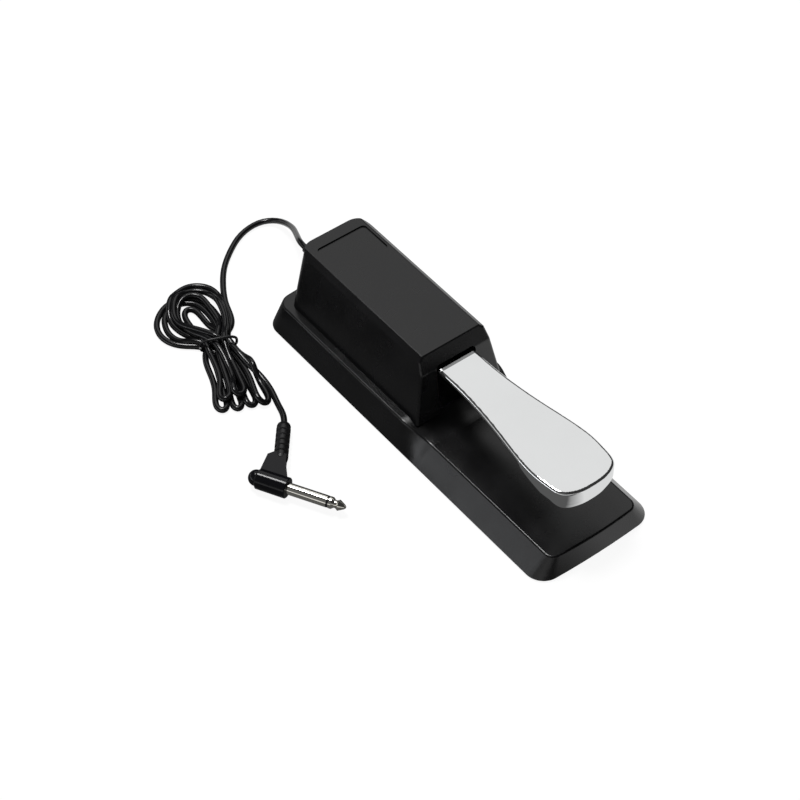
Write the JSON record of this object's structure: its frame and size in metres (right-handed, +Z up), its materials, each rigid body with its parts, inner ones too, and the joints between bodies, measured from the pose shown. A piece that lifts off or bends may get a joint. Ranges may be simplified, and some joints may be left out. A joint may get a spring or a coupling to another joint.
{
  "type": "sustain pedal",
  "caption": "Piano-style sustain pedal: a chromed foot lever standing out of a black tower case on a long sloped base, with a coiled signal lead and a right-angle jack plug.",
  "frame": {"origin": "centre of the base's footprint, on the floor (underside of the rubber pad)", "axes": "+X to the player's right, +Y from the pedal's toe to the rear where the lead leaves, +Z up"},
  "size_m": [0.1504, 0.2992, 0.0552],
  "materials": {
    "case_plastic": "satin black moulded ABS",
    "zinc_steel": "zinc-plated sheet steel",
    "pad_rubber": "matte anti-slip rubber",
    "screw_steel": "bright zinc plate",
    "nylon": "natural nylon",
    "stop_rubber": "soft rubber",
    "felt": "pressed felt",
    "spring_steel": "bright spring wire",
    "switch_plastic": "glossy moulding",
    "brass": "bright brass",
    "plunger_red": "glossy moulding",
    "pedal_chrome": "polished chrome plate",
    "wire_red": "PVC wire insulation",
    "wire_black": "PVC wire insulation",
    "cord_pvc": "glossy black PVC",
    "gland_rubber": "flexible black PVC",
    "tie_plastic": "glossy plastic-coated wire",
    "plug_pvc": "glossy moulded PVC",
    "insulator_black": "glossy ring",
    "nickel": "polished nickel plate"
  },
  "bodies": {
    "housing": {"upper_case": "case_plastic", "bottom_plate": "zinc_steel", "rubber_pad": "pad_rubber", "case_screws": "screw_steel", "pivot_bracket": "zinc_steel", "bracket_screws": "screw_steel", "pivot_bush_left": "nylon", "pivot_bush_right": "nylon", "return_spring": "spring_steel", "spring_seat": "nylon", "upper_stop_pad": "felt", "lower_stop_pad": "stop_rubber", "switch_body": "switch_plastic", "switch_terminals": "brass", "switch_bracket": "zinc_steel", "switch_screws": "screw_steel", "switch_bracket_screws": "screw_steel", "signal_wire": "wire_red", "ground_wire": "wire_black", "cord_inner": "cord_pvc", "cord_ferrule": "brass", "cord_gland": "gland_rubber", "cord_run": "cord_pvc", "cord_hank": "cord_pvc", "cord_tie": "tie_plastic", "cord_tail": "cord_pvc", "plug_boot": "gland_rubber", "plug_body": "plug_pvc", "plug_sleeve": "nickel", "plug_insulator": "insulator_black", "plug_tip": "nickel"},
    "pedal": {"pedal_lever": "pedal_chrome", "pivot_pin": "screw_steel", "pin_clips": "spring_steel", "spring_cap": "nylon", "switch_pusher": "nylon"},
    "leaf": {"switch_leaf": "spring_steel"},
    "plunger": {"switch_plunger": "plunger_red"}
  },
  "joints": [
    {"name": "pedal_pivot", "type": "hinge", "parent": "housing", "child": "pedal", "pos_m": [0, 0.066, 0.038], "axis": [1, 0, 0], "range_deg": [0, 5.2], "stiffness_Nm_per_rad": 16.5, "springref_deg": -3.15, "deforming": ["return_spring"]},
    {"name": "leaf_pivot", "type": "hinge", "parent": "housing", "child": "leaf", "pos_m": [0, 0.055, 0.0365], "axis": [1, 0, 0], "range_deg": [0, 9.2]},
    {"name": "plunger_slide", "type": "slide", "parent": "housing", "child": "plunger", "axis": [0, 0, -1], "range_m": [0, 0.0008]}
  ],
  "couplings": [
    {"joint": "leaf_pivot", "follows": "pedal_pivot", "ratio": 1.7333},
    {"joint": "plunger_slide", "follows": "pedal_pivot", "m_per_rad": 0.0086}
  ]
}
